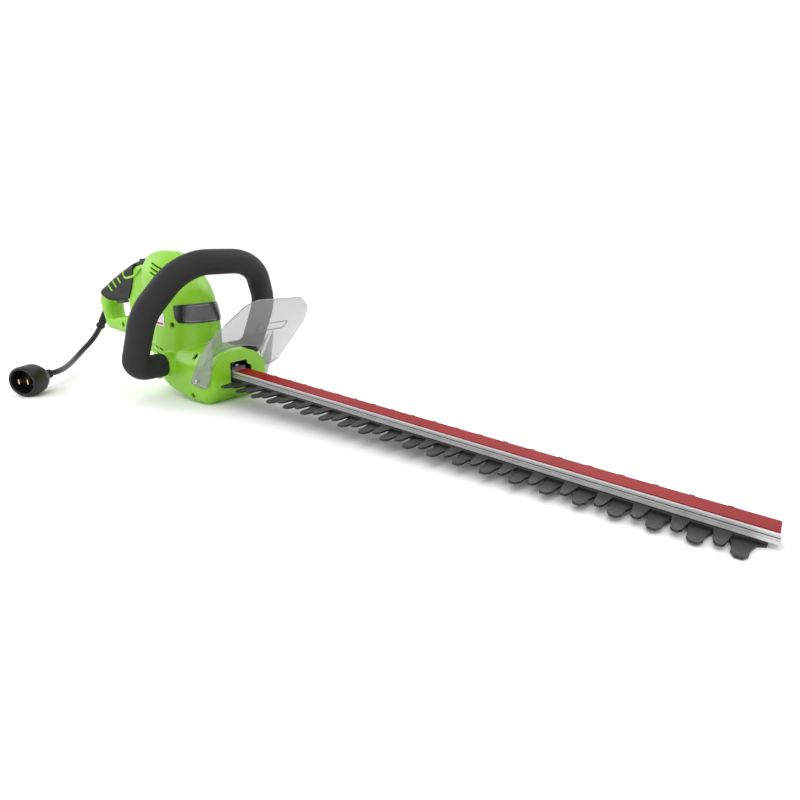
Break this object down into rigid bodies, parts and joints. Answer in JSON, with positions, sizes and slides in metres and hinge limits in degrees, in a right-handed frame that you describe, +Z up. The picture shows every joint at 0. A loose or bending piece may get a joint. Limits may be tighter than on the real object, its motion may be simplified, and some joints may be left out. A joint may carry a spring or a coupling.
{
  "type": "hedge trimmer",
  "caption": "Corded electric hedge trimmer: twin reciprocating toothed blades on a guide bar, loop front handle, clear hand guard, rear trigger grip and short supply lead.",
  "frame": {"origin": "middle of the flat under the nose, on the ground", "axes": "+X along the blades towards their tip, +Y to the tool's left, +Z up; the ground is z = 0"},
  "size_m": [0.9443, 0.2724, 0.1885],
  "materials": {
    "green_plastic": "semi-gloss moulded plastic",
    "black_plastic": "matte moulded plastic",
    "grip_rubber": "soft matte overmould",
    "clear_plastic": "clear tinted sheet",
    "aluminium": "extruded, satin",
    "cast_case": "die-cast, as cast",
    "blade_steel": "dark phosphated steel with ground teeth",
    "bright_steel": "bright plated steel",
    "red_strip": "printed plastic strip",
    "plate_grey": "glossy dark label band",
    "copper": "bare copper",
    "carbon": "sintered carbon",
    "felt": "felt",
    "brass": "brass",
    "wire_sheath": "smooth rubber sheath"
  },
  "bodies": {
    "housing": {"armature_bearing_lower": "bright_steel", "armature_bearing_upper": "bright_steel", "bar_screw_1": "bright_steel", "bar_screw_2": "bright_steel", "bar_strip": "red_strip", "blade_bolt_1": "bright_steel", "blade_bolt_2": "bright_steel", "blade_bolt_3": "bright_steel", "blade_bolt_4": "bright_steel", "brush_holder_left": "brass", "brush_holder_right": "brass", "brush_left": "carbon", "brush_right": "carbon", "cord": "wire_sheath", "cover_screw_1": "bright_steel", "cover_screw_2": "bright_steel", "felt_wiper": "felt", "field_coil_left": "copper", "field_coil_right": "copper", "field_stack": "cast_case", "front_handle": "black_plastic", "gear_bearing": "bright_steel", "gear_case": "cast_case", "gear_cover": "cast_case", "grip_pad_left": "grip_rubber", "grip_pad_right": "grip_rubber", "guard": "clear_plastic", "guard_screw_left": "bright_steel", "guard_screw_right": "bright_steel", "guide_bar": "aluminium", "handle_screw_left": "bright_steel", "handle_screw_right": "bright_steel", "housing_left": "green_plastic", "housing_right": "green_plastic", "housing_screw_1": "bright_steel", "housing_screw_2": "bright_steel", "housing_screw_3": "bright_steel", "housing_screw_4": "bright_steel", "inner_lead": "wire_sheath", "motor_lead_left": "copper", "motor_lead_right": "wire_sheath", "name_plate": "plate_grey", "plug_body": "black_plastic", "plug_pin_1": "brass", "plug_pin_2": "brass", "strain_relief": "grip_rubber", "switch": "black_plastic", "trigger_pin": "bright_steel"},
    "lower_blade": {"blade_lower": "blade_steel"},
    "upper_blade": {"blade_upper": "blade_steel"},
    "gear": {"drive_gear": "bright_steel", "gear_shaft": "bright_steel", "double_eccentric": "bright_steel"},
    "armature": {"armature_shaft": "bright_steel", "armature_core": "cast_case", "commutator": "copper", "cooling_fan": "black_plastic", "pinion": "bright_steel"},
    "trigger": {"trigger": "black_plastic"},
    "lock_off_button": {"lock_off_button": "black_plastic"}
  },
  "joints": [
    {"name": "blade_lower_slide", "type": "slide", "parent": "housing", "child": "lower_blade", "axis": [0.9988, 0, -0.0496], "range_m": [-0.0055, 0.0055]},
    {"name": "blade_upper_slide", "type": "slide", "parent": "housing", "child": "upper_blade", "axis": [0.9988, 0, -0.0496], "range_m": [-0.0055, 0.0055]},
    {"name": "gear_spin", "type": "hinge", "parent": "housing", "child": "gear", "pos_m": [-0.04961, 0, 0.04952], "axis": [0.0496, 0, 0.9988], "continuous": true},
    {"name": "armature_spin", "type": "hinge", "parent": "housing", "child": "armature", "pos_m": [-0.07895, 0, 0.12407], "axis": [0.0496, 0, 0.9988], "continuous": true},
    {"name": "trigger_pull", "type": "hinge", "parent": "housing", "child": "trigger", "pos_m": [-0.19698, 0, 0.12642], "axis": [0, 1, 0], "range_deg": [0, 7], "stiffness_Nm_per_rad": 0.6, "springref_deg": -6.88},
    {"name": "lock_off_press", "type": "slide", "parent": "housing", "child": "lock_off_button", "axis": [0.0496, 0, 0.9988], "range_m": [-0.0035, 0], "stiffness_N_per_m": 400, "springref_m": 0.003}
  ],
  "couplings": [
    {"joint": "blade_upper_slide", "follows": "blade_lower_slide", "ratio": -1},
    {"joint": "armature_spin", "follows": "gear_spin", "ratio": -5.6667}
  ]
}
